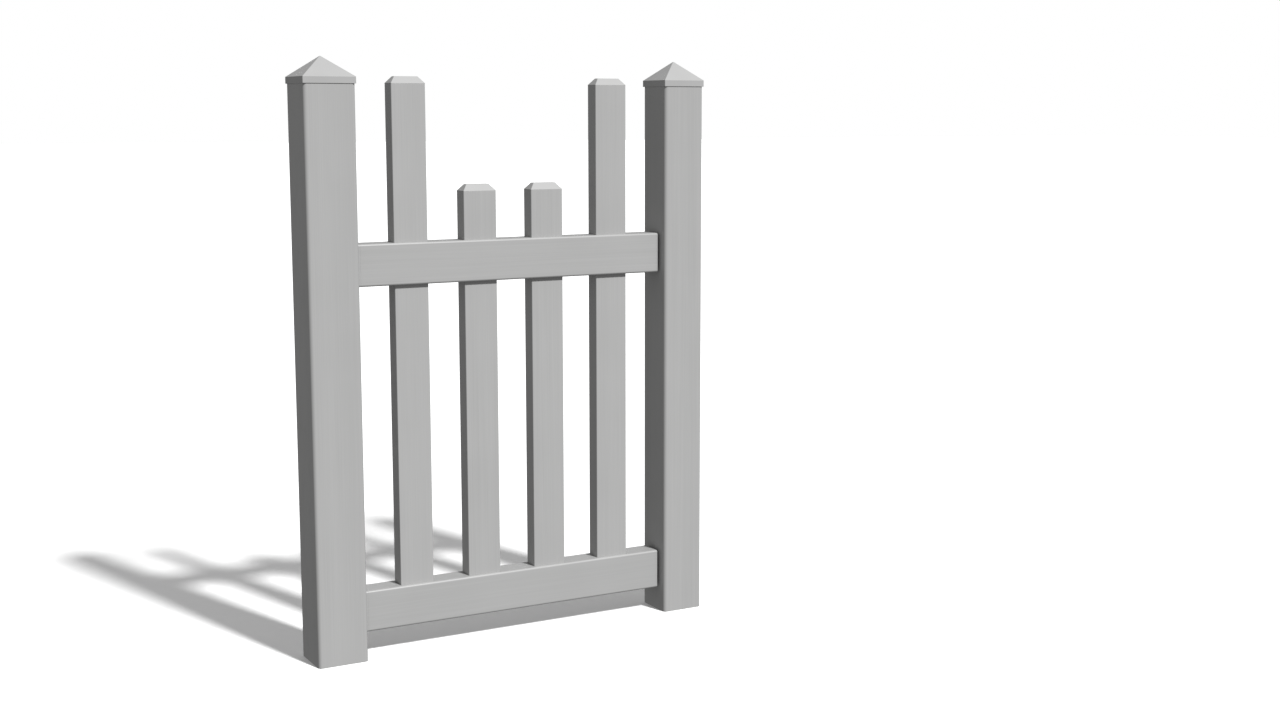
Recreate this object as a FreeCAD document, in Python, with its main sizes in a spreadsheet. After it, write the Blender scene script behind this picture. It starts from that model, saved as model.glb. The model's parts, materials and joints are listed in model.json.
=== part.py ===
import FreeCAD, Part
import Sketcher
import os
import re

# Garden gate: a picket leaf hung between two hollow posts.
#
# Frame: +X from the hinge post to the latch post, +Y to the rear (the side the leaf opens to),
# +Z up. The origin is on the ground, in the middle of the whole gate's footprint.
# All sizes are in millimetres.

doc = FreeCAD.newDocument("GardenGate")

# ---------------------------------------------------------------------------------------------
# Driving dimensions
# ---------------------------------------------------------------------------------------------

DIMENSIONS = {
    # posts
    "hinge_post_side": 100.0,       # the hinge post carries the leaf and is the stouter one
    "latch_post_side": 90.0,
    "post_length": 1113.5,          # ground to the tube's top end
    "post_wall": 5.0,
    "post_corner": 7.0,             # outer corner radius
    "opening": 662.0,               # clear width between the posts
    # post inserts, the metal bars behind the hinges and the keep
    "insert_gap": 0.5,              # play between an insert and the post's inner walls
    "insert_thick": 3.0,
    "insert_end": 30.0,             # from each end of the post to the insert's end
    # anchor holes at the foot of each post
    "anchor_hole_radius": 4.5,
    "anchor_low": 40.0,             # ground to the lower hole
    "anchor_pitch": 60.0,
    # post caps
    "cap_overhang": 1.2,            # skirt outside the post's face
    "cap_gap": 0.15,                # play between the skirt and the post
    "cap_lap": 10.0,                # how far the skirt reaches down past the post's end
    "cap_roof": 2.5,                # thickness over the seat
    "cap_rise": 38.0,               # pyramid height
    "cap_point": 2.0,               # side of the pyramid's blunted tip
    "cap_corner": 1.2,
    "cap_hollow_step": 4.8,         # straight part of the hollow under the pyramid
    # rails
    "hinge_gap": 6.0,               # hinge post to the leaf
    "latch_gap": 5.0,               # leaf to the latch post
    "rail_height": 81.0,
    "rail_depth": 52.0,
    "rail_wall": 3.0,
    "rail_corner": 4.0,
    "bottom_rail_z": 91.3,          # centre heights
    "top_rail_z": 764.0,
    "end_flange": 4.0,              # thickness of an end piece outside its rail
    "end_edge": 3.0,                # rounding of the latch end's outer edge
    "block_edge": 1.2,              # rounding of the hinge end's outer edge
    "end_fit": 0.3,                 # play between an end piece and its rail
    "hinge_block": 40.0,            # depth of a hinge block inside its rail
    "end_spigot": 12.0,             # depth of an end cap's spigot inside its rail
    "end_spigot_wall": 2.5,
    # rail inserts, the metal strips that the screws bite into
    "strip_thick": 3.0,
    "strip_height": 60.0,
    "strip_gap": 0.3,
    "strip_end_gap": 1.0,
    # pickets
    "picket_width": 69.0,
    "picket_depth": 34.0,
    "picket_wall": 2.2,
    "picket_corner": 1.5,
    "picket_pitch": 145.0,
    "picket_shift": 2.0,            # from the leaf's middle towards the latch post
    "tall_picket_top": 1104.8,      # height of the tube's upper end
    "short_picket_top": 898.7,
    "slot_gap": 0.2,                # play between a picket and the slot it passes through
    # picket caps
    "picket_cap_flange": 1.0,       # straight edge under the chamfer
    "picket_cap_rise": 12.8,
    "picket_cap_inset": 10.8,       # chamfer on all four sides
    "picket_cap_edge": 1.0,
    "picket_cap_spigot": 18.0,
    "picket_cap_spigot_wall": 1.8,
    "picket_cap_fit": 0.2,
    # hinges
    "hinge_height": 70.0,
    "hinge_plate": 2.5,
    "hinge_plate_end": 20.0,        # from the gate's mid plane forward to the plate's edge
    "plate_corner": 4.0,            # rounded corners of the metal plates
    "knuckle_radius": 4.6,
    "knuckle_fixed": 23.0,          # length of each knuckle on the post's side
    "knuckle_clearance": 0.9,       # between a knuckle and the plate that swings past it
    "washer_thick": 1.0,
    "knuckle_gap": 0.1,             # end play on each side of the moving knuckle
    "pin_radius": 3.0,
    "pin_head_radius": 4.5,
    "pin_head": 1.8,
    "pin_fixed_fit": 0.02,          # radial play of the pin in the knuckles that hold it
    "pin_running_fit": 0.08,        # radial play in the knuckle that turns
    "pivot_out": 5.0,               # from the hinge post's face out to the hinge axis
    "pivot_back": 7.0,              # from the rail's rear face back to the hinge axis
    "hinge_screw_y": 13.0,          # each side of the plate's middle
    "hinge_screw_z": 24.0,          # each side of the hinge's middle
    # slide bolt
    "bolt_plate": 1.5,
    "bolt_plate_length": 66.0,
    "bolt_plate_height": 38.0,
    "bolt_plate_end": 3.0,          # from the plate's end to the leaf's latch end
    "bolt_radius": 3.5,
    "bolt_stand_off": 0.3,          # between the bolt and its plate
    "bolt_running_fit": 0.08,
    "bolt_end": 2.0,                # bolt's tip short of the leaf's end when it is drawn
    "bolt_length": 85.0,
    "bolt_tip_edge": 1.0,           # rounding of both of its ends
    "guide_length": 8.0,
    "guide_inset": 4.0,             # from the plate's end to the guide
    "guide_wall": 1.7,
    "knob_back": 45.0,              # from the bolt's tip to the knob's axis
    "knob_radius": 5.5,
    "knob_stem_radius": 2.3,
    "knob_reach": 15.0,             # from the bolt's axis to the knob's end
    "knob_head": 7.0,
    "knob_edge": 1.6,
    "knob_fit": 0.05,               # radial play of the stem in the bolt
    "bolt_screw_x": 15.0,           # each side of the plate's middle
    "bolt_screw_z": 13.5,
    # keep on the latch post
    "keep_thick": 2.4,
    "keep_height": 46.0,
    "keep_width": 18.0,
    "keep_edge": 6.2,               # from the bolt's axis to the keep's rear edge
    "keep_gap": 0.1,                # play in the recess the keep is let into
    "keep_hole_play": 1.0,          # radial play of the bolt in the keep and the post
    "keep_screw_z": 17.0,
    # screws
    "screw_radius": 1.75,
    "screw_play": 0.05,             # radial play of a screw in its hole
    "screw_head_radius": 3.6,
    "screw_head": 2.1,
    "pan_edge": 1.2,                # rounding of the heads that stand on a face
    "screw_drive": 2.2,             # side of the square drive
    "screw_drive_depth": 1.3,
    "screw_tip": 2.0,               # how far a through screw's end stands out
    "gate_screw_length": 24.0,      # the screws that hold the hinges to the hinge blocks
    "gate_screw_room": 1.0,         # depth of their holes past their ends
    "block_screw_length": 18.0,     # the screws that hold the hinge blocks in the rails
    "block_screw_in": 28.0,         # from a rail's end in to those screws
    "block_screw_z": 15.0,
}

# Places and sizes worked out from the driving dimensions, each written once.
DERIVED = {
    "opening_middle": "(hinge_post_side - latch_post_side) / 2",
    "hinge_face": "opening_middle - opening / 2",
    "latch_face": "opening_middle + opening / 2",
    "hinge_post_x": "hinge_face - hinge_post_side / 2",
    "latch_post_x": "latch_face + latch_post_side / 2",
    "leaf_left": "hinge_face + hinge_gap",
    "leaf_right": "latch_face - latch_gap",
    "leaf_middle": "(leaf_left + leaf_right) / 2",
    "rail_length": "leaf_right - leaf_left - 2 * end_flange",
    "rail_clear_height": "rail_height - 2 * rail_wall",
    "rail_clear_depth": "rail_depth - 2 * rail_wall",
    "rail_back": "rail_depth / 2",
    "strip_left": "leaf_left + end_flange + hinge_block + strip_end_gap",
    "strip_right": "leaf_right - end_flange - end_spigot - strip_end_gap",
    "strip_y": "rail_clear_depth / 2 - strip_gap - strip_thick / 2",
    "picket_foot": "bottom_rail_z - rail_height / 2 + rail_wall",
    "picket_back": "picket_depth / 2",
    "pivot_x": "hinge_face + pivot_out",
    "pivot_y": "rail_back + pivot_back",
    "hinge_width": "pivot_y + hinge_plate_end",
    "hinge_screw_middle": "(rail_back - hinge_plate_end) / 2",
    "knuckle_moving_low": "knuckle_fixed + washer_thick + knuckle_gap",
    "knuckle_moving": "hinge_height - 2 * knuckle_fixed - washer_thick - 2 * knuckle_gap",
    "bolt_y": "rail_back + bolt_plate + bolt_stand_off + bolt_radius",
    "bolt_plate_x": "leaf_right - bolt_plate_end - bolt_plate_length / 2",
    "bolt_tip_x": "leaf_right - bolt_end",
    "knob_x": "bolt_tip_x - knob_back",
    "keep_y": "bolt_y + keep_edge - keep_width / 2",
    "keep_hole": "bolt_radius + keep_hole_play",
    "screw_hole": "screw_radius + screw_play",
}

sheet = doc.addObject("Spreadsheet::Sheet", "Sheet")
for row, (alias, size) in enumerate(DIMENSIONS.items(), start=1):
    sheet.set("A%d" % row, alias)
    sheet.set("B%d" % row, str(size))
    sheet.setAlias("B%d" % row, alias)
doc.recompute()

WORD = re.compile(r"[a-z_]+")


def spell_out(formula):
    """Write a formula of the names above as one of the sheet's cells."""
    def replace(match):
        name = match.group(0)
        if name in DERIVED:
            return "(" + spell_out(DERIVED[name]) + ")"
        if name in DIMENSIONS:
            return "Sheet." + name
        return name
    return WORD.sub(replace, formula)


def bind(thing, path, formula):
    """Drive one property of an object by a formula."""
    thing.setExpression(path, spell_out(str(formula)))


# ---------------------------------------------------------------------------------------------
# Sketches and features shared by the sub-parts
# ---------------------------------------------------------------------------------------------

SUB_PARTS = []
Z_AXIS = FreeCAD.Vector(0, 0, 1)


def new_body(label, x="0", y="0", z="0"):
    """Start a sub-part as a PartDesign body, its own origin placed by three formulas."""
    body = doc.addObject("PartDesign::Body", label)
    body.Label = label
    body.AllowCompound = True
    for letter, formula in zip("xyz", (x, y, z)):
        bind(body, "Placement.Base." + letter, formula)
    SUB_PARTS.append(body)
    return body


def draw_rectangle(sketch, width, height, across="0", up="0"):
    """Draw a rectangle about a centre, its size and place driven by formulas."""
    first = sketch.GeometryCount
    corners = [FreeCAD.Vector(x, y, 0) for x, y in ((-9, -7), (9, -7), (9, 7), (-9, 7))]
    for index in range(4):
        sketch.addGeometry(Part.LineSegment(corners[index], corners[(index + 1) % 4]), False)
    for index in range(4):
        following = first + (index + 1) % 4
        sketch.addConstraint(Sketcher.Constraint("Coincident", first + index, 2, following, 1))
    for index, way in enumerate(("Horizontal", "Vertical", "Horizontal", "Vertical")):
        sketch.addConstraint(Sketcher.Constraint(way, first + index))
    driven = (
        (Sketcher.Constraint("DistanceX", first, 1, first, 2, 18.0), width),
        (Sketcher.Constraint("DistanceY", first + 1, 1, first + 1, 2, 14.0), height),
        (Sketcher.Constraint("DistanceX", -1, 1, first, 1, -9.0), "%s - (%s) / 2" % (across, width)),
        (Sketcher.Constraint("DistanceY", -1, 1, first, 1, -7.0), "%s - (%s) / 2" % (up, height)),
    )
    for constraint, formula in driven:
        bind(sketch, "Constraints[%d]" % sketch.addConstraint(constraint), formula)


def draw_circle(sketch, radius, across="0", up="0"):
    """Draw a circle, its radius and centre driven by formulas."""
    circle = sketch.addGeometry(Part.Circle(FreeCAD.Vector(1, 1, 0), Z_AXIS, 2), False)
    driven = (
        (Sketcher.Constraint("Radius", circle, 2.0), radius),
        (Sketcher.Constraint("DistanceX", -1, 1, circle, 3, 1.0), across),
        (Sketcher.Constraint("DistanceY", -1, 1, circle, 3, 1.0), up),
    )
    for constraint, formula in driven:
        bind(sketch, "Constraints[%d]" % sketch.addConstraint(constraint), formula)


def rectangle(width, height, across="0", up="0"):
    """An outline to extrude: a rectangle about a centre."""
    return (draw_rectangle, (width, height, across, up))


def circle(radius, across="0", up="0"):
    """An outline to extrude: a circle."""
    return (draw_circle, (radius, across, up))


def extrude(body, kind, plane, outlines, low, high, taper):
    """Pad or pocket outlines between two levels along the plane's axis, X, Y or Z.

    A sketch on the XZ plane faces -Y, so its levels are counted from the other end.
    """
    backwards = plane == "XZ_Plane"
    sketch = body.newObject("Sketcher::SketchObject", body.Name + "_outline")
    support = [item for item in body.Origin.OriginFeatures if item.Role == plane][0]
    sketch.AttachmentSupport = [(support, "")]
    sketch.MapMode = "FlatFace"
    bind(sketch, "AttachmentOffset.Base.z", "-(%s)" % high if backwards else low)
    for draw, sizes in outlines:
        draw(sketch, *sizes)
    feature = body.newObject("PartDesign::" + kind, body.Name + "_" + kind.lower())
    feature.Profile = sketch
    feature.Reversed = kind == "Pocket"
    bind(feature, "Length", "(%s) - (%s)" % (high, low))
    bind(feature, "TaperAngle", taper)
    body.Tip = feature
    doc.recompute()


def add(body, plane, outlines, low, high, taper="0"):
    """Add material to the body; the solid's volume has to grow."""
    before = body.Shape.Volume if body.Tip else 0.0
    extrude(body, "Pad", plane, outlines, low, high, taper)
    if body.Shape.Volume <= before:
        raise ValueError(body.Label + ": a pad added nothing")


def cut(body, plane, outlines, low, high, taper="0"):
    """Cut the body; the solid's volume has to shrink."""
    before = body.Shape.Volume
    extrude(body, "Pocket", plane, outlines, low, high, taper)
    if body.Shape.Volume >= before:
        raise ValueError(body.Label + ": a pocket cut nothing")


def round_edges(body, radius, is_rounded):
    """Fillet the edges of the body that a test picks."""
    base = body.Tip
    names = ["Edge%d" % number for number, edge in enumerate(base.Shape.Edges, start=1)
             if is_rounded(edge.BoundBox, base.Shape.BoundBox)]
    fillet = body.newObject("PartDesign::Fillet", body.Name + "_fillet")
    fillet.Base = (base, names)
    bind(fillet, "Radius", radius)
    body.Tip = fillet
    doc.recompute()


TOUCH = 0.01    # two coordinates nearer than this are the same


def is_at(edge, box, side):
    """Say whether an edge lies in one face of the box, such as XMin or ZMax."""
    length = getattr(edge, side[0] + "Length")
    return length < TOUCH and abs(getattr(edge, side) - getattr(box, side)) < TOUCH


def outer_corners(along):
    """Pick the box's own corner edges along an axis, X, Y or Z."""
    first, second = [axis for axis in "XYZ" if axis != along]

    def test(edge, box):
        beside = is_at(edge, box, first + "Min") or is_at(edge, box, first + "Max")
        above = is_at(edge, box, second + "Min") or is_at(edge, box, second + "Max")
        return beside and above
    return test


def rim(*sides):
    """Pick the edges that lie in any of the box's faces named, such as XMin or ZMax."""
    return lambda edge, box: any(is_at(edge, box, side) for side in sides)


# ---------------------------------------------------------------------------------------------
# Screws and their holes
# ---------------------------------------------------------------------------------------------

COUNTERSINK = "atan((screw_head_radius - screw_radius) / screw_head)"


def circles(places, radius):
    """One circle of the same radius at each place."""
    return [circle(radius, across, up) for across, up in places]


def cut_holes(body, plane, places, low, high):
    """Cut one screw hole at each place."""
    cut(body, plane, circles(places, "screw_hole"), low, high)


def head_outline(places, towards, play):
    """The narrow or wide end of countersunk heads, whichever lies at their lower level."""
    if towards > 0:
        return circles(places, "screw_head_radius + " + play), "-" + COUNTERSINK
    return circles(places, "screw_radius + " + play), COUNTERSINK


def head_levels(face, towards):
    """The two levels of countersunk heads whose tops are flush with a face across X."""
    if towards > 0:
        return face, "%s + screw_head" % face
    return "%s - screw_head" % face, face


def countersunk_holes(body, places, face, towards, depth):
    """Cut countersunk holes along X into a face, towards +X or -X."""
    far = "%s + (%s)" % (face, depth) if towards > 0 else "%s - (%s)" % (face, depth)
    cut_holes(body, "YZ_Plane", places, *((face, far) if towards > 0 else (far, face)))
    outlines, taper = head_outline(places, towards, "screw_play")
    cut(body, "YZ_Plane", outlines, *head_levels(face, towards), taper)


def countersunk_screws(label, places, face, towards, length):
    """Make screws along X with their heads flush with a face, driven towards +X or -X."""
    body = new_body(label)
    outlines, taper = head_outline(places, towards, "0")
    add(body, "YZ_Plane", outlines, *head_levels(face, towards), taper)
    under_head, tip = "%s + %d * screw_head", "%s + %d * (%s)"
    levels = (under_head % (face, towards), tip % (face, towards, length))
    add(body, "YZ_Plane", circles(places, "screw_radius"), *levels[::towards])
    drives = [rectangle("screw_drive", "screw_drive", across, up) for across, up in places]
    levels = (face, "%s + %d * screw_drive_depth" % (face, towards))
    cut(body, "YZ_Plane", drives, *levels[::towards])


def pan_head_screws(label, places, face, length):
    """Make screws with rounded heads that stand on a rear face, driven forward."""
    body = new_body(label)
    top = "%s + screw_head" % face
    add(body, "XZ_Plane", circles(places, "screw_head_radius"), face, top)
    round_edges(body, "pan_edge", rim("YMax"))
    add(body, "XZ_Plane", circles(places, "screw_radius"), "%s - (%s)" % (face, length), face)
    drives = [rectangle("screw_drive", "screw_drive", across, up) for across, up in places]
    cut(body, "XZ_Plane", drives, "%s - screw_drive_depth" % top, top)


def grid(middle_across, step_across, middle_up, step_up):
    """Four places, one step each way from a middle, across and up."""
    return [("%s %s %s" % (middle_across, left, step_across), "%s %s %s" % (middle_up, down, step_up))
            for left in "-+" for down in "-+"]


PICKETS = ["picket_shift %s * picket_pitch" % step for step in ("- 1.5", "- 0.5", "+ 0.5", "+ 1.5")]
RAILS = {"bottom": "bottom_rail_z", "top": "top_rail_z"}
HINGES = {"lower": "bottom_rail_z", "upper": "top_rail_z"}

HINGE_SCREWS = [place for rail_z in HINGES.values()
                for place in grid("hinge_screw_middle", "hinge_screw_y", rail_z, "hinge_screw_z")]
KEEP_SCREWS = [("keep_y", "top_rail_z - keep_screw_z"), ("keep_y", "top_rail_z + keep_screw_z")]
ANCHOR_HOLES = [("0", "anchor_low"), ("0", "anchor_low + anchor_pitch")]
BOLT_SCREWS = grid("bolt_plate_x", "bolt_screw_x", "top_rail_z", "bolt_screw_z")
BLOCK_SCREWS = [("leaf_left + end_flange + block_screw_in", "%s %s block_screw_z" % (rail_z, down))
                for rail_z in RAILS.values() for down in "-+"]
PICKET_SCREWS = [("leaf_middle + %s" % place, rail_z) for rail_z in RAILS.values() for place in PICKETS]


def moved(places, across, up):
    """The same places, counted from another origin."""
    return [("%s - (%s)" % (place[0], across), "%s - (%s)" % (place[1], up)) for place in places]


# ---------------------------------------------------------------------------------------------
# Posts, their inserts and their caps
# ---------------------------------------------------------------------------------------------

def post(label, x, side):
    """A hollow square post standing on the ground, with anchor holes in its rear wall."""
    body = new_body(label, x)
    outlines = [rectangle(side, side), rectangle(side + " - 2 * post_wall", side + " - 2 * post_wall")]
    add(body, "XY_Plane", outlines, "0", "post_length")
    round_edges(body, "post_corner", outer_corners("Z"))
    back = side + " / 2"
    anchor = circles(ANCHOR_HOLES, "anchor_hole_radius")
    cut(body, "XZ_Plane", anchor, back + " - post_wall", back)
    return body


def post_insert(label, x, side, facing):
    """A flat metal bar inside a post, behind the wall that faces the gate."""
    body = new_body(label, x)
    width = side + " - 2 * post_wall - 2 * insert_gap"
    middle = "%d * (%s / 2 - post_wall - insert_gap - insert_thick / 2)" % (facing, side)
    bar = [rectangle("insert_thick", width, middle)]
    add(body, "XY_Plane", bar, "insert_end", "post_length - insert_end")
    return body


def post_cap(label, x, side):
    """A hollow pyramid cap whose skirt fits over the post's end."""
    body = new_body(label, x, z="post_length")
    width = side + " + 2 * cap_overhang"
    slope = "atan((%s - cap_point) / 2 / cap_rise)" % width
    add(body, "XY_Plane", [rectangle(width, width)], "-cap_lap", "cap_roof")
    add(body, "XY_Plane", [rectangle(width, width)], "cap_roof", "cap_roof + cap_rise", "-" + slope)
    round_edges(body, "cap_corner", is_cap_corner)
    socket = side + " + 2 * cap_gap"
    cut(body, "XY_Plane", [rectangle(socket, socket)], "-cap_lap", "0")
    hollow = [rectangle(side + " - 2 * post_wall", side + " - 2 * post_wall")]
    cut(body, "XY_Plane", hollow, "0", "cap_hollow_step")
    hollow_rise = "cap_rise * (%s - 2 * post_wall - cap_point) / (%s - cap_point)" % (side, width)
    cut(body, "XY_Plane", hollow, "cap_hollow_step", "cap_hollow_step + " + hollow_rise, "-" + slope)


def is_cap_corner(edge, box):
    """Pick a cap's upright corners and the hips that run on from them to its point."""
    return edge.ZLength > TOUCH


hinge_post = post("hinge_post", "hinge_post_x", "hinge_post_side")
hinge_wall = "hinge_post_side / 2 - post_wall"
cut_holes(hinge_post, "YZ_Plane", HINGE_SCREWS, hinge_wall, "hinge_post_side / 2")

hinge_post_insert = post_insert("hinge_post_insert", "hinge_post_x", "hinge_post_side", 1)
hinge_bar = hinge_wall + " - insert_gap"
cut_holes(hinge_post_insert, "YZ_Plane", HINGE_SCREWS, hinge_bar + " - insert_thick", hinge_bar)

latch_post = post("latch_post", "latch_post_x", "latch_post_side")
latch_outside = "-latch_post_side / 2"
keep_recess = rectangle("keep_width + 2 * keep_gap", "keep_height + 2 * keep_gap", "keep_y", "top_rail_z")
cut(latch_post, "YZ_Plane", [keep_recess], latch_outside, latch_outside + " + keep_thick")
latch_wall = latch_outside + " + post_wall"
bolt_hole = [circle("keep_hole", "bolt_y", "top_rail_z")]
cut(latch_post, "YZ_Plane", bolt_hole, latch_outside, latch_wall)
cut_holes(latch_post, "YZ_Plane", KEEP_SCREWS, latch_outside, latch_wall)

latch_post_insert = post_insert("latch_post_insert", "latch_post_x", "latch_post_side", -1)
latch_bar = latch_wall + " + insert_gap"
cut(latch_post_insert, "YZ_Plane", bolt_hole, latch_bar, latch_bar + " + insert_thick")
cut_holes(latch_post_insert, "YZ_Plane", KEEP_SCREWS, latch_bar, latch_bar + " + insert_thick")

post_cap("hinge_post_cap", "hinge_post_x", "hinge_post_side")
post_cap("latch_post_cap", "latch_post_x", "latch_post_side")

# ---------------------------------------------------------------------------------------------
# Rails, what is inside them and what closes their ends
# ---------------------------------------------------------------------------------------------

def rail(name, rail_z, slot_low):
    """A hollow rail with a slot for each picket, cut down to one level."""
    body = new_body(name + "_rail", "leaf_middle", "0", rail_z)
    outlines = [rectangle("rail_depth", "rail_height"), rectangle("rail_clear_depth", "rail_clear_height")]
    add(body, "YZ_Plane", outlines, "-rail_length / 2", "rail_length / 2")
    round_edges(body, "rail_corner", outer_corners("X"))
    slots = [rectangle("picket_width + 2 * slot_gap", "picket_depth + 2 * slot_gap", place)
             for place in PICKETS]
    cut(body, "XY_Plane", slots, slot_low, "rail_height / 2")
    return body


def rail_strip(name, rail_z):
    """A flat metal bar inside a rail, behind the pickets."""
    body = new_body(name + "_rail_insert", "leaf_middle", "strip_y", rail_z)
    outline = [rectangle("strip_thick", "strip_height")]
    add(body, "YZ_Plane", outline, "strip_left - leaf_middle", "strip_right - leaf_middle")
    return body


def end_piece(label, x, rail_z, outward, edge):
    """The flange of an end piece, its outer face rounded all round."""
    body = new_body(label, x, "0", rail_z)
    levels = ("0", "%d * end_flange" % outward)
    add(body, "YZ_Plane", [rectangle("rail_depth", "rail_height")], *levels[::outward])
    round_edges(body, "rail_corner", outer_corners("X"))
    round_edges(body, edge, rim("XMax" if outward > 0 else "XMin"))
    return body


SPIGOT_DEPTH = "rail_clear_depth - 2 * end_fit"
SPIGOT_HEIGHT = "rail_clear_height - 2 * end_fit"

for name, rail_z in RAILS.items():
    rail_body = rail(name, rail_z, "0" if name == "bottom" else "-rail_height / 2")
    strip_body = rail_strip(name, rail_z)
    rail_screws = [place for place in PICKET_SCREWS + BLOCK_SCREWS if rail_z in place[1]]
    strip_screws = [place for place in PICKET_SCREWS if rail_z in place[1]]
    if name == "top":
        rail_screws += BOLT_SCREWS
        strip_screws += BOLT_SCREWS
    rail_screws = moved(rail_screws, "leaf_middle", rail_z)
    strip_screws = moved(strip_screws, "leaf_middle", rail_z)
    cut_holes(rail_body, "XZ_Plane", rail_screws, "rail_back - rail_wall", "rail_back")
    cut_holes(strip_body, "XZ_Plane", strip_screws, "-strip_thick / 2", "strip_thick / 2")

    block = end_piece(name + "_rail_hinge_block", "leaf_left + end_flange", rail_z, -1, "block_edge")
    add(block, "YZ_Plane", [rectangle(SPIGOT_DEPTH, SPIGOT_HEIGHT)], "0", "hinge_block")
    gate_screws = [place for place in HINGE_SCREWS if rail_z in place[1]]
    bottom_of_hole = "gate_screw_length - hinge_plate - end_flange + gate_screw_room"
    cut_holes(block, "YZ_Plane", moved(gate_screws, "0", rail_z), "-end_flange", bottom_of_hole)
    block_screws = [place for place in BLOCK_SCREWS if rail_z in place[1]]
    cut_holes(block, "XZ_Plane", moved(block_screws, "leaf_left + end_flange", rail_z),
              "rail_back - block_screw_length - gate_screw_room", "rail_back")

    cap = end_piece(name + "_rail_end_cap", "leaf_right - end_flange", rail_z, 1, "end_edge")
    inside = rectangle(SPIGOT_DEPTH + " - 2 * end_spigot_wall", SPIGOT_HEIGHT + " - 2 * end_spigot_wall")
    add(cap, "YZ_Plane", [rectangle(SPIGOT_DEPTH, SPIGOT_HEIGHT), inside], "-end_spigot", "0")

# ---------------------------------------------------------------------------------------------
# Pickets, numbered from the hinge post, and their caps
# ---------------------------------------------------------------------------------------------

def picket(label, x, top):
    """A hollow picket that stands in the bottom rail and passes through the top one."""
    body = new_body(label, x, "0", "picket_foot")
    inside = rectangle("picket_width - 2 * picket_wall", "picket_depth - 2 * picket_wall")
    outlines = [rectangle("picket_width", "picket_depth"), inside]
    add(body, "XY_Plane", outlines, "0", top + " - picket_foot")
    round_edges(body, "picket_corner", outer_corners("Z"))
    holes = [("0", rail_z + " - picket_foot") for rail_z in RAILS.values()]
    cut_holes(body, "XZ_Plane", holes, "picket_back - picket_wall", "picket_back")


def picket_cap(label, x, top):
    """A cap with a chamfer on all four sides and a hollow spigot inside the picket."""
    body = new_body(label, x, "0", top)
    add(body, "XY_Plane", [rectangle("picket_width", "picket_depth")], "0", "picket_cap_flange")
    add(body, "XY_Plane", [rectangle("picket_width", "picket_depth")], "picket_cap_flange",
        "picket_cap_flange + picket_cap_rise", "-atan(picket_cap_inset / picket_cap_rise)")
    round_edges(body, "picket_cap_edge", lambda edge, box: edge.ZMax > box.ZMin + TOUCH)
    width = "picket_width - 2 * picket_wall - 2 * picket_cap_fit"
    depth = "picket_depth - 2 * picket_wall - 2 * picket_cap_fit"
    inside = rectangle(width + " - 2 * picket_cap_spigot_wall", depth + " - 2 * picket_cap_spigot_wall")
    add(body, "XY_Plane", [rectangle(width, depth), inside], "-picket_cap_spigot", "0")


PICKET_TOPS = ("tall_picket_top", "short_picket_top", "short_picket_top", "tall_picket_top")

for number, (place, top) in enumerate(zip(PICKETS, PICKET_TOPS), start=1):
    picket_x = "leaf_middle + %s" % place
    picket("picket_%d" % number, picket_x, top)
    picket_cap("picket_cap_%d" % number, picket_x, top)

# ---------------------------------------------------------------------------------------------
# Hinges, each about its own pin; their origin is on the pin's axis at the hinge's lower end
# ---------------------------------------------------------------------------------------------

UPPER_KNUCKLE = "hinge_height - knuckle_fixed"
MOVING_TOP = "knuckle_moving_low + knuckle_moving"


def hinge_leaf(label, hinge_z, across, knuckles, notches, fit):
    """A hinge plate with its knuckles: across is the plate's middle from the pin's axis."""
    body = new_body(label, "pivot_x", "pivot_y", hinge_z)
    plate = rectangle("hinge_plate", "hinge_width", across, "-hinge_width / 2")
    add(body, "XY_Plane", [plate], "0", "hinge_height")
    round_edges(body, "plate_corner", is_plate_corner)
    reach = "knuckle_radius + knuckle_clearance"
    for low, high in notches:
        cut(body, "XY_Plane", [rectangle("hinge_plate", reach, across, "-(%s) / 2" % reach)], low, high)
    for low, high in knuckles:
        add(body, "XY_Plane", [circle("knuckle_radius")], low, high)
    cut(body, "XY_Plane", [circle("pin_radius + " + fit)], "0", "hinge_height")
    return body


def is_plate_corner(edge, box):
    """Pick the two corners of a hinge plate away from the pin."""
    return is_at(edge, box, "YMin") and (is_at(edge, box, "ZMin") or is_at(edge, box, "ZMax"))


for name, rail_z in HINGES.items():
    hinge_z = rail_z + " - hinge_height / 2"
    places = moved([place for place in HINGE_SCREWS if rail_z in place[1]], "pivot_y", hinge_z)

    fixed_knuckles = [("0", "knuckle_fixed"), (UPPER_KNUCKLE, "hinge_height")]
    fixed = hinge_leaf(name + "_hinge_post_leaf", hinge_z, "hinge_plate / 2 - pivot_out",
                       fixed_knuckles, [("knuckle_fixed", UPPER_KNUCKLE)], "pin_fixed_fit")
    countersunk_holes(fixed, places, "hinge_plate - pivot_out", -1, "hinge_plate")

    moving_knuckles = [("knuckle_moving_low", MOVING_TOP)]
    clear_of_fixed = [("0", "knuckle_moving_low"), (MOVING_TOP, "hinge_height")]
    moving = hinge_leaf(name + "_hinge_gate_leaf", hinge_z, "hinge_gap - pivot_out - hinge_plate / 2",
                        moving_knuckles, clear_of_fixed, "pin_running_fit")
    countersunk_holes(moving, places, "hinge_gap - pivot_out - hinge_plate", 1, "hinge_plate")

    pin = new_body(name + "_hinge_pin", "pivot_x", "pivot_y", hinge_z)
    add(pin, "XY_Plane", [circle("pin_radius")], "0", "hinge_height")
    add(pin, "XY_Plane", [circle("pin_head_radius")], "hinge_height", "hinge_height + pin_head")

    washer = new_body(name + "_hinge_washer", "pivot_x", "pivot_y", hinge_z)
    ring = [circle("knuckle_radius"), circle("pin_radius + pin_running_fit")]
    add(washer, "XY_Plane", ring, "knuckle_fixed", "knuckle_fixed + washer_thick")

# ---------------------------------------------------------------------------------------------
# Slide bolt on the rear of the top rail, and its keep in the latch post
# ---------------------------------------------------------------------------------------------

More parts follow.
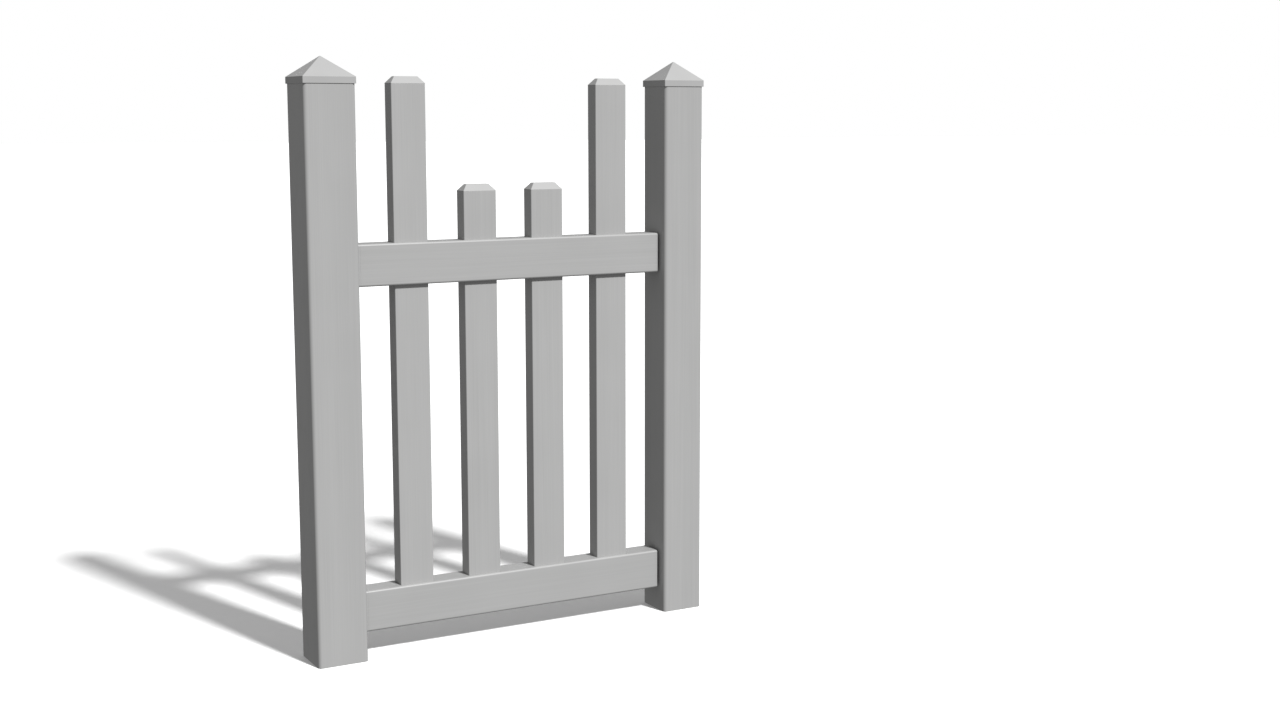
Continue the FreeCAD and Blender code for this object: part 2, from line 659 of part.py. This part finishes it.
bolt_plate = new_body("bolt_plate", "bolt_plate_x", "rail_back", "top_rail_z")
plate = [rectangle("bolt_plate_length", "bolt_plate_height")]
add(bolt_plate, "XZ_Plane", plate, "0", "bolt_plate")
round_edges(bolt_plate, "plate_corner", outer_corners("Y"))
axis_y = "(bolt_y - rail_back)"
guide_radius = "bolt_radius + bolt_running_fit + guide_wall"
guide = rectangle(axis_y, "2 * (%s)" % guide_radius, axis_y + " / 2")
for side in "-+":
    low = "%s (bolt_plate_length / 2 - guide_inset - guide_length / 2) - guide_length / 2" % side
    add(bolt_plate, "YZ_Plane", [guide], low, low + " + guide_length")
    add(bolt_plate, "YZ_Plane", [circle(guide_radius, axis_y)], low, low + " + guide_length")
bore = [circle("bolt_radius + bolt_running_fit", axis_y)]
cut(bolt_plate, "YZ_Plane", bore, "-bolt_plate_length / 2", "bolt_plate_length / 2")
cut_holes(bolt_plate, "XZ_Plane", moved(BOLT_SCREWS, "bolt_plate_x", "top_rail_z"), "0", "bolt_plate")

bolt = new_body("bolt", "bolt_tip_x", "bolt_y", "top_rail_z")
add(bolt, "YZ_Plane", [circle("bolt_radius")], "-bolt_length", "0")
round_edges(bolt, "bolt_tip_edge", rim("XMin", "XMax"))
stem_hole = [circle("knob_stem_radius + knob_fit", "-knob_back")]
cut(bolt, "XZ_Plane", stem_hole, "0", "bolt_radius")

knob = new_body("bolt_knob", "knob_x", "bolt_y", "top_rail_z")
add(knob, "XZ_Plane", [circle("knob_radius")], "knob_reach - knob_head", "knob_reach")
round_edges(knob, "knob_edge", rim("YMin", "YMax"))
add(knob, "XZ_Plane", [circle("knob_stem_radius")], "knob_fit", "knob_reach - knob_head")

keep = new_body("keep", "latch_face", "keep_y", "top_rail_z")
add(keep, "YZ_Plane", [rectangle("keep_width", "keep_height")], "0", "keep_thick")
cut(keep, "YZ_Plane", [circle("keep_hole", "bolt_y - keep_y")], "0", "keep_thick")
countersunk_holes(keep, moved(KEEP_SCREWS, "keep_y", "top_rail_z"), "0", 1, "keep_thick")

# ---------------------------------------------------------------------------------------------
# Screws
# ---------------------------------------------------------------------------------------------

countersunk_screws("hinge_post_screws", HINGE_SCREWS, "hinge_face + hinge_plate", -1,
                   "hinge_plate + post_wall + insert_gap + insert_thick + screw_tip")
countersunk_screws("hinge_gate_screws", HINGE_SCREWS, "leaf_left - hinge_plate", 1,
                   "gate_screw_length")
countersunk_screws("keep_screws", KEEP_SCREWS, "latch_face", 1,
                   "post_wall + insert_gap + insert_thick + screw_tip")
pan_head_screws("picket_screws", PICKET_SCREWS, "rail_back",
                "rail_back - picket_back + picket_wall + screw_tip")
pan_head_screws("block_screws", BLOCK_SCREWS, "rail_back", "block_screw_length")
pan_head_screws("bolt_screws", BOLT_SCREWS, "rail_back + bolt_plate",
                "bolt_plate + rail_wall + strip_gap + strip_thick + screw_tip")

# ---------------------------------------------------------------------------------------------
# Checks and export
# ---------------------------------------------------------------------------------------------

GROUPS = {"hinge_post_screws": 8, "hinge_gate_screws": 8, "keep_screws": 2,
          "picket_screws": 8, "block_screws": 4, "bolt_screws": 4}

doc.recompute()
for item in doc.Objects:
    if "Invalid" in item.State or "Error" in item.State:
        raise ValueError("%s did not build: %s" % (item.Name, item.State))

os.makedirs("parts", exist_ok=True)
for body in SUB_PARTS:
    shape = body.Shape
    if shape.isNull() or not shape.isValid():
        raise ValueError(body.Label + " has no valid shape")
    if len(shape.Solids) != GROUPS.get(body.Label, 1):
        raise ValueError("%s has %d solids" % (body.Label, len(shape.Solids)))
    shape.exportStep("parts/%s.step" % body.Label)
print("%d sub-parts" % len(SUB_PARTS))
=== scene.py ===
import json
import math

import bpy
from mathutils import Euler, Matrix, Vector

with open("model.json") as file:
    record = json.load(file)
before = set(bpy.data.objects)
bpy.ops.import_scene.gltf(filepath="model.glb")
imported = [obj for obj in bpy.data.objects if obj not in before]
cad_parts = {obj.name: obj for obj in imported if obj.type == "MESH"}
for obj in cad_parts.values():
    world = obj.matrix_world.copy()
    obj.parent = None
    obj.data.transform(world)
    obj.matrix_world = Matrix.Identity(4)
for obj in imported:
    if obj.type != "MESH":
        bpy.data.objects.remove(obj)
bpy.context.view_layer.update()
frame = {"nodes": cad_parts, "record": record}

# Looks for the garden gate: PVC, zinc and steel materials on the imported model, floor, light, camera.

# ---------------------------------------------------------------------------------------------
# Node tools
# ---------------------------------------------------------------------------------------------


def new_material(name, metallic=0.0, specular=0.5):
    """A material with a Principled shader."""
    material = bpy.data.materials.new(name)
    material.use_nodes = True
    shader_of(material).inputs["Metallic"].default_value = metallic
    shader_of(material).inputs["Specular IOR Level"].default_value = specular
    return material


def shader_of(material):
    """The material's Principled shader node."""
    return material.node_tree.nodes["Principled BSDF"]


def add_node(material, kind, settings=None, **inputs):
    """Add a node, with its settings, and its inputs as values or as sockets to link from."""
    node = material.node_tree.nodes.new(kind)
    for name, value in (settings or {}).items():
        setattr(node, name, value)
    for name, value in inputs.items():
        socket = node.inputs[name.replace("_", " ")]
        if isinstance(value, bpy.types.NodeSocket):
            material.node_tree.links.new(value, socket)
        else:
            socket.default_value = value
    return node


def link(material, source, target):
    """Link two sockets."""
    material.node_tree.links.new(source, target)


def noise(material, vector, scale, detail=3.0, roughness=0.5):
    """A noise value from 0 to 1 over stretched coordinates."""
    node = add_node(material, "ShaderNodeTexNoise", None, Vector=vector, Scale=scale,
                    Detail=detail, Roughness=roughness)
    return node.outputs["Fac"]


def remap(material, value, low, high, from_low=0.3, from_high=0.7):
    """Spread a value over a new range, clamped at both ends."""
    node = add_node(material, "ShaderNodeMapRange", None, Value=value)
    for name, number in (("From Min", from_low), ("From Max", from_high), ("To Min", low), ("To Max", high)):
        node.inputs[name].default_value = number
    return node.outputs["Result"]


def stretched(material, stretch, shift=(0.0, 0.0, 0.0)):
    """The object's own coordinates, scaled along each axis and shifted."""
    coordinates = add_node(material, "ShaderNodeTexCoord").outputs["Object"]
    mapping = add_node(material, "ShaderNodeMapping", None, Vector=coordinates, Scale=stretch,
                       Location=shift)
    return mapping.outputs["Vector"]


def math_node(material, operation, first, second):
    """Combine two values."""
    node = material.node_tree.nodes.new("ShaderNodeMath")
    node.operation = operation
    for socket, value in zip(node.inputs, (first, second)):
        if isinstance(value, bpy.types.NodeSocket):
            material.node_tree.links.new(value, socket)
        else:
            socket.default_value = value
    return node.outputs[0]


def shade(material, colour, factor):
    """Multiply a colour by a varying factor and give it to the shader."""
    scaled = add_node(material, "ShaderNodeVectorMath", {"operation": "SCALE"}, Scale=factor)
    scaled.inputs[0].default_value = colour
    link(material, scaled.outputs["Vector"], shader_of(material).inputs["Base Color"])


def rounded_edges_and_highlight_wear_mask(material):
    """The normal with every sharp edge worn round, and a mask for the painted edge highlight and wear, from
    0 on a face to 1 at an edge.
    """
    bevel = add_node(material, "ShaderNodeBevel", {"samples": EDGE_SAMPLES}, Radius=EDGE_REACH)
    worn = bevel.outputs["Normal"]
    flat = add_node(material, "ShaderNodeNewGeometry").outputs["Normal"]
    alike = add_node(material, "ShaderNodeVectorMath", {"operation": "DOT_PRODUCT"})
    link(material, worn, alike.inputs[0])
    link(material, flat, alike.inputs[1])
    return worn, remap(material, alike.outputs["Value"], 1.0, 0.0, 0.88, 0.995)


def bump(material, height, depth, normal):
    """Give the shader a bump of a depth in metres on top of a normal."""
    node = add_node(material, "ShaderNodeBump", None, Height=height, Distance=depth, Strength=1.0,
                    Normal=normal)
    link(material, node.outputs["Normal"], shader_of(material).inputs["Normal"])


def edge_highlight_and_wear_factor(material, edge, gain):
    """A factor of 1 on the faces that grows to 1 + gain along the edges: a painted highlight on the edges,
    and wear.
    """
    return remap(material, edge, 1.0, 1.0 + gain, 0.0, 1.0)


# ---------------------------------------------------------------------------------------------
# Materials
# ---------------------------------------------------------------------------------------------

EDGE_REACH = 0.0009      # how far the edge rounding, the painted edge highlight and wear reach in from an edge
EDGE_SAMPLES = 6
PVC_GREY = (0.352, 0.352, 0.35)
PVC_SPECULAR = 0.36
ALONG = {"X": (0.6, 90.0, 90.0), "Z": (90.0, 90.0, 0.6)}    # streaks run along the named axis


def extruded_pvc(name, axis, shift):
    """Satin grey PVC with faint drawing streaks along the extrusion and a few longer shade bands."""
    material = new_material(name, specular=PVC_SPECULAR)
    fine = noise(material, stretched(material, ALONG[axis], shift), 6.0, detail=4.0, roughness=0.6)
    broad = noise(material, stretched(material, [value / 9 for value in ALONG[axis]], shift), 2.2)
    cloud = noise(material, stretched(material, (1.0, 1.0, 1.0), shift), 7.0, detail=2.0)
    streak = remap(material, fine, 0.965, 1.03)
    band = remap(material, broad, 0.975, 1.02)
    patch = remap(material, cloud, 0.985, 1.015)
    normal, edge = rounded_edges_and_highlight_wear_mask(material)
    # edges lighter: painted highlight on the arrises, and wear
    factor = edge_highlight_and_wear_factor(material, edge, 0.05)
    for variation in (streak, band, patch):
        factor = math_node(material, "MULTIPLY", factor, variation)
    shade(material, PVC_GREY, factor)
    patches = noise(material, stretched(material, (1.0, 1.0, 1.0), shift), 34.0)
    scuffs = remap(material, patches, 0.0, 0.07, 0.55, 0.72)
    dullness = math_node(material, "ADD", remap(material, fine, 0.27, 0.37), scuffs)
    link(material, dullness, shader_of(material).inputs["Roughness"])
    bump(material, fine, 0.00004, normal)
    return material


def moulded_pvc(name, shift):
    """Satin grey PVC with the very fine orange peel of a moulding."""
    material = new_material(name, specular=PVC_SPECULAR)
    peel = noise(material, stretched(material, (1.0, 1.0, 1.0), shift), 420.0, detail=2.0)
    cloud = noise(material, stretched(material, (1.0, 1.0, 1.0), shift), 16.0, detail=2.0)
    normal, edge = rounded_edges_and_highlight_wear_mask(material)
    # edges lighter: painted highlight on the skirt and hip edges, and wear
    factor = math_node(material, "MULTIPLY", edge_highlight_and_wear_factor(material, edge, 0.08),
                       remap(material, cloud, 0.98, 1.02))
    shade(material, PVC_GREY, factor)
    link(material, remap(material, peel, 0.48, 0.56), shader_of(material).inputs["Roughness"])
    bump(material, peel, 0.00004, normal)
    return material


def zinc(name):
    """Dull zinc plate: crystals of slightly different greys, and fine pitting."""
    material = new_material(name, metallic=1.0)
    crystals = add_node(material, "ShaderNodeTexVoronoi", None,
                        Vector=stretched(material, (1.0, 1.0, 1.0)), Scale=260.0)
    grain = add_node(material, "ShaderNodeRGBToBW", None, Color=crystals.outputs["Color"])
    value = grain.outputs["Val"]
    pits = noise(material, stretched(material, (1.0, 1.0, 1.0)), 900.0)
    normal, edge = rounded_edges_and_highlight_wear_mask(material)
    factor = math_node(material, "MULTIPLY", edge_highlight_and_wear_factor(material, edge, 0.2),
                       remap(material, value, 0.82, 1.1, 0.2, 0.8))
    shade(material, (0.56, 0.575, 0.59), factor)
    link(material, remap(material, value, 0.34, 0.56, 0.2, 0.8), shader_of(material).inputs["Roughness"])
    bump(material, pits, 0.00003, normal)
    return material


def turned_steel(name, base, rough_low, rough_high, stretch):
    """Bare metal with fine machining lines."""
    material = new_material(name, metallic=1.0)
    lines = noise(material, stretched(material, stretch), 40.0, detail=3.0)
    normal, edge = rounded_edges_and_highlight_wear_mask(material)
    factor = math_node(material, "MULTIPLY", edge_highlight_and_wear_factor(material, edge, 0.12),
                       remap(material, lines, 0.9, 1.06))
    shade(material, base, factor)
    link(material, remap(material, lines, rough_low, rough_high), shader_of(material).inputs["Roughness"])
    bump(material, lines, 0.00002, normal)
    return material


def nylon(name):
    """Milky nylon with a soft surface."""
    material = new_material(name)
    cloud = noise(material, stretched(material, (1.0, 1.0, 1.0)), 120.0)
    normal, edge = rounded_edges_and_highlight_wear_mask(material)
    factor = math_node(material, "MULTIPLY", edge_highlight_and_wear_factor(material, edge, 0.1),
                       remap(material, cloud, 0.95, 1.03))
    shade(material, (0.76, 0.75, 0.7), factor)
    link(material, remap(material, cloud, 0.42, 0.55), shader_of(material).inputs["Roughness"])
    bump(material, cloud, 0.00003, normal)
    return material


def paint(node, material):
    """Put a material on a CAD node."""
    slots = frame["nodes"][node].data.materials
    if not slots:
        slots.append(material)
    for index in range(len(slots)):
        slots[index] = material


hardware = {
    "galvanised": zinc("zinc_plate"),
    "aluminium": turned_steel("mill_aluminium", (0.68, 0.69, 0.7), 0.32, 0.46, (90.0, 90.0, 0.8)),
    "stainless": turned_steel("stainless_steel", (0.6, 0.6, 0.6), 0.24, 0.36, (30.0, 30.0, 30.0)),
    "nylon": nylon("natural_nylon"),
}

for order, part in enumerate(frame["record"]["subparts"]):
    node, slot = part["node"], part["material_slot"]
    shift = (0.37 * order, 0.61 * order, 0.23 * order)
    if slot in hardware:
        paint(node, hardware[slot])
    elif slot == "cap":
        paint(node, moulded_pvc(node + "_pvc", shift))
    elif slot == "rail":
        rail_shift = (0.37, 0.61, 0.23) if node.startswith("top") else (1.9, 0.4, 2.6)
        paint(node, extruded_pvc(node + "_pvc", "X", rail_shift))
    else:
        paint(node, extruded_pvc(node + "_pvc", "Z", shift))

# ---------------------------------------------------------------------------------------------
# Floor, light and camera
# ---------------------------------------------------------------------------------------------

FLOOR_HALF = 60.0
FLOOR_GREY = 0.93
FLOOR_ROUGHNESS = 0.9
FLOOR_GLOW = 0.055      # lifts the shadows a little

mesh = bpy.data.meshes.new("floor")
corners = [(x * FLOOR_HALF, y * FLOOR_HALF, 0.0) for x, y in ((-1, -1), (1, -1), (1, 1), (-1, 1))]
mesh.from_pydata(corners, [], [(0, 1, 2, 3)])
floor = bpy.data.objects.new("floor", mesh)
bpy.context.scene.collection.objects.link(floor)
floor_material = new_material("pale_floor", specular=0.0)
speckle = noise(floor_material, stretched(floor_material, (1.0, 1.0, 1.0)), 30.0)
shade(floor_material, (FLOOR_GREY, FLOOR_GREY, FLOOR_GREY), remap(floor_material, speckle, 0.99, 1.01))
shader_of(floor_material).inputs["Roughness"].default_value = FLOOR_ROUGHNESS
shader_of(floor_material).inputs["Emission Color"].default_value = (1.0, 1.0, 1.0, 1.0)
shader_of(floor_material).inputs["Emission Strength"].default_value = FLOOR_GLOW
floor.data.materials.append(floor_material)
floor.visible_diffuse = False       # the floor takes the gate's shadow but throws no light back up
floor.visible_glossy = False

bpy.context.scene.view_settings.view_transform = "Standard"

SKY_LIGHT = 0.33    # what the surroundings give to the surfaces
SKY_SHINE = 0.22    # what the surfaces mirror of them
SUN_STRENGTH = 4.6
SUN_WIDTH = math.radians(5.0)
TO_SUN = Vector((0.18, -0.67, 0.72))
BACK_STRENGTH = 1.6
BACK_WIDTH = math.radians(40.0)
TO_BACK = Vector((0.3, 0.95, 0.0))

world = bpy.data.worlds.new("studio")
bpy.context.scene.world = world
world.use_nodes = True
background = world.node_tree.nodes["Background"]
background.inputs["Color"].default_value = (1.0, 1.0, 1.0, 1.0)
rays = world.node_tree.nodes.new("ShaderNodeLightPath")
level = SKY_LIGHT
for ray, value in (("Is Glossy Ray", SKY_SHINE), ("Is Camera Ray", 1.0)):
    blend = world.node_tree.nodes.new("ShaderNodeMix")
    blend.inputs["B"].default_value = value
    if isinstance(level, float):
        blend.inputs["A"].default_value = level
    else:
        world.node_tree.links.new(level, blend.inputs["A"])
    world.node_tree.links.new(rays.outputs[ray], blend.inputs["Factor"])
    level = blend.outputs["Result"]
world.node_tree.links.new(level, background.inputs["Strength"])


def add_sun(name, strength, width, towards, is_mirrored=True):
    """A distant light seen in a direction, soft by its width."""
    lamp = bpy.data.lights.new(name, "SUN")
    lamp.energy = strength
    lamp.angle = width
    sun = bpy.data.objects.new(name, lamp)
    sun.rotation_euler = towards.to_track_quat("Z", "Y").to_euler()
    sun.visible_glossy = is_mirrored
    bpy.context.scene.collection.objects.link(sun)


add_sun("key_light", SUN_STRENGTH, SUN_WIDTH, TO_SUN)
add_sun("back_light", BACK_STRENGTH, BACK_WIDTH, TO_BACK, is_mirrored=False)

CAMERA_PLACE = (-1.4163, -3.0715, 1.0465)
CAMERA_TURN = math.radians(29.23)       # from +Y towards +X
CAMERA_DIP = math.radians(8.12)
CAMERA_LENS = 47.78
CAMERA_SENSOR = 36.0
CAMERA_REACH = 200.0                    # past the floor's far corners

camera_data = bpy.data.cameras.new("camera")
camera_data.lens = CAMERA_LENS
camera_data.sensor_width = CAMERA_SENSOR
camera_data.clip_end = CAMERA_REACH
camera = bpy.data.objects.new("camera", camera_data)
camera.location = CAMERA_PLACE
camera.rotation_euler = Euler((math.pi / 2 - CAMERA_DIP, 0.0, -CAMERA_TURN), "XYZ")
bpy.context.scene.collection.objects.link(camera)
bpy.context.scene.camera = camera
